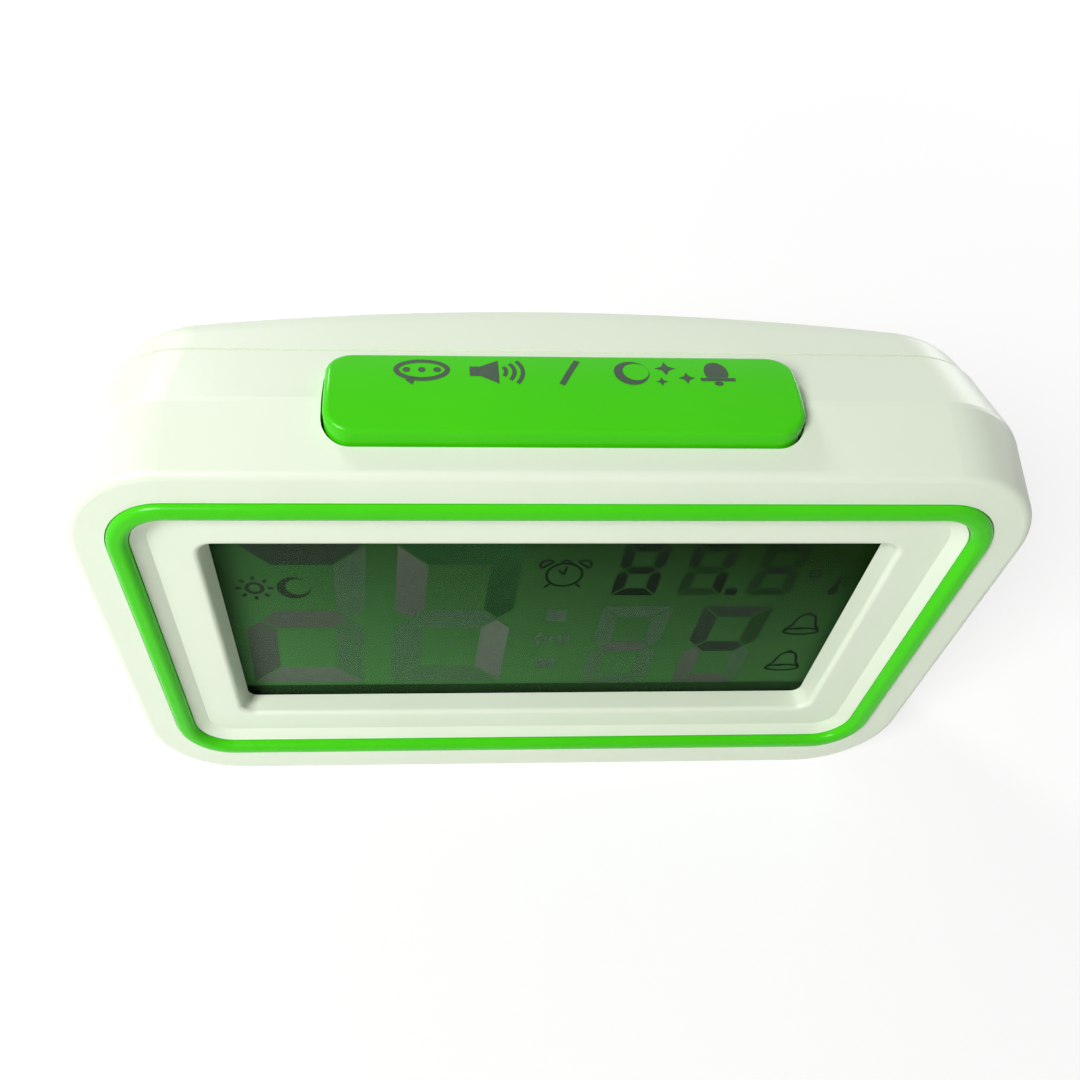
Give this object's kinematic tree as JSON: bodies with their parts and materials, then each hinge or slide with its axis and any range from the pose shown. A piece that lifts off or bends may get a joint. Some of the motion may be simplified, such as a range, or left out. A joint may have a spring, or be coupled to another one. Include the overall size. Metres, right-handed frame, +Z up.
{
  "type": "talking alarm clock",
  "caption": "Free-standing talking alarm clock with a white case, green trim ring and push bar on top, a large segment display, and a speaker grille, keys and battery door at the back.",
  "frame": {"origin": "bottom centre of the whole clock's box, on the plane that the rubber feet stand on", "axes": "+Z up, the display faces -Y and leans back a little, +X to the viewer's right"},
  "size_m": [0.133, 0.044, 0.082],
  "materials": {
    "case_white": "satin moulded ABS",
    "trim_green": "glossy moulded ABS",
    "key_green": "glossy moulded ABS",
    "lens_clear": "clear polished acrylic",
    "lcd_glass": "laminated display glass",
    "reflector_film": "matt metallised film",
    "inner_plastic": "moulded polystyrene",
    "contact_rubber": "striped conductive elastomer",
    "board": "lacquered circuit board",
    "chip_epoxy": "cast epoxy",
    "bright_steel": "nickel-plated steel",
    "screw_steel": "zinc-plated steel",
    "switch_plastic": "moulded nylon",
    "plunger_plastic": "moulded acetal",
    "speaker_steel": "pressed steel, dark coating",
    "speaker_paper": "pressed black pulp",
    "speaker_magnet": "sintered ferrite",
    "cell_jacket": "shrink-sleeved can",
    "lead_sleeve": "PVC sleeve",
    "foot_rubber": "moulded rubber"
  },
  "bodies": {
    "case": {"front_shell": "case_white", "rear_shell": "case_white", "trim_ring": "trim_green", "display_lens": "lens_clear", "lcd_panel": "lcd_glass", "lcd_reflector": "reflector_film", "lcd_carrier": "inner_plastic", "zebra_strip": "contact_rubber", "main_board": "board", "chip_globs": "chip_epoxy", "quartz_can": "bright_steel", "capacitor": "chip_epoxy", "thermistor": "chip_epoxy", "snooze_switch": "switch_plastic", "key_board": "board", "key_switches": "switch_plastic", "speaker_frame": "speaker_steel", "speaker_cone": "speaker_paper", "speaker_magnet": "speaker_magnet", "battery_cell_upper": "cell_jacket", "contact_spring_upper": "bright_steel", "battery_cell_lower": "cell_jacket", "contact_spring_lower": "bright_steel", "contact_bridge": "bright_steel", "contact_positive": "bright_steel", "contact_negative": "bright_steel", "case_screws": "screw_steel", "board_screws": "screw_steel", "key_board_screws": "screw_steel", "battery_leads": "lead_sleeve", "speaker_leads": "lead_sleeve", "key_leads": "lead_sleeve", "foot_front_left": "foot_rubber", "foot_front_right": "foot_rubber", "foot_rear_left": "foot_rubber", "foot_rear_right": "foot_rubber"},
    "snooze_bar": {"snooze_bar": "trim_green", "snooze_plunger": "plunger_plastic"},
    "battery_door": {"battery_door": "case_white"},
    "mode_key": {"mode_key": "key_green", "mode_plunger": "plunger_plastic"},
    "set_key": {"set_key": "key_green", "set_plunger": "plunger_plastic"},
    "up_key": {"up_key": "key_green", "up_plunger": "plunger_plastic"},
    "down_key": {"down_key": "key_green", "down_plunger": "plunger_plastic"}
  },
  "joints": [
    {"name": "snooze_press", "type": "slide", "parent": "case", "child": "snooze_bar", "axis": [0, -0.1045, -0.9945], "range_m": [0, 0.001], "stiffness_N_per_m": 1500, "springref_m": -0.0002},
    {"name": "battery_door_hinge", "type": "hinge", "parent": "case", "child": "battery_door", "pos_m": [0, 0.01285, 0.01047], "axis": [-1, 0, 0], "range_deg": [0, 85]},
    {"name": "mode_press", "type": "slide", "parent": "case", "child": "mode_key", "axis": [0, -0.9945, 0.1045], "range_m": [0, 0.0008], "stiffness_N_per_m": 1200, "springref_m": -0.0002},
    {"name": "set_press", "type": "slide", "parent": "case", "child": "set_key", "axis": [0, -0.9945, 0.1045], "range_m": [0, 0.0008], "stiffness_N_per_m": 1200, "springref_m": -0.0002},
    {"name": "up_press", "type": "slide", "parent": "case", "child": "up_key", "axis": [0, -0.9945, 0.1045], "range_m": [0, 0.0008], "stiffness_N_per_m": 1200, "springref_m": -0.0002},
    {"name": "down_press", "type": "slide", "parent": "case", "child": "down_key", "axis": [0, -0.9945, 0.1045], "range_m": [0, 0.0008], "stiffness_N_per_m": 1200, "springref_m": -0.0002}
  ]
}
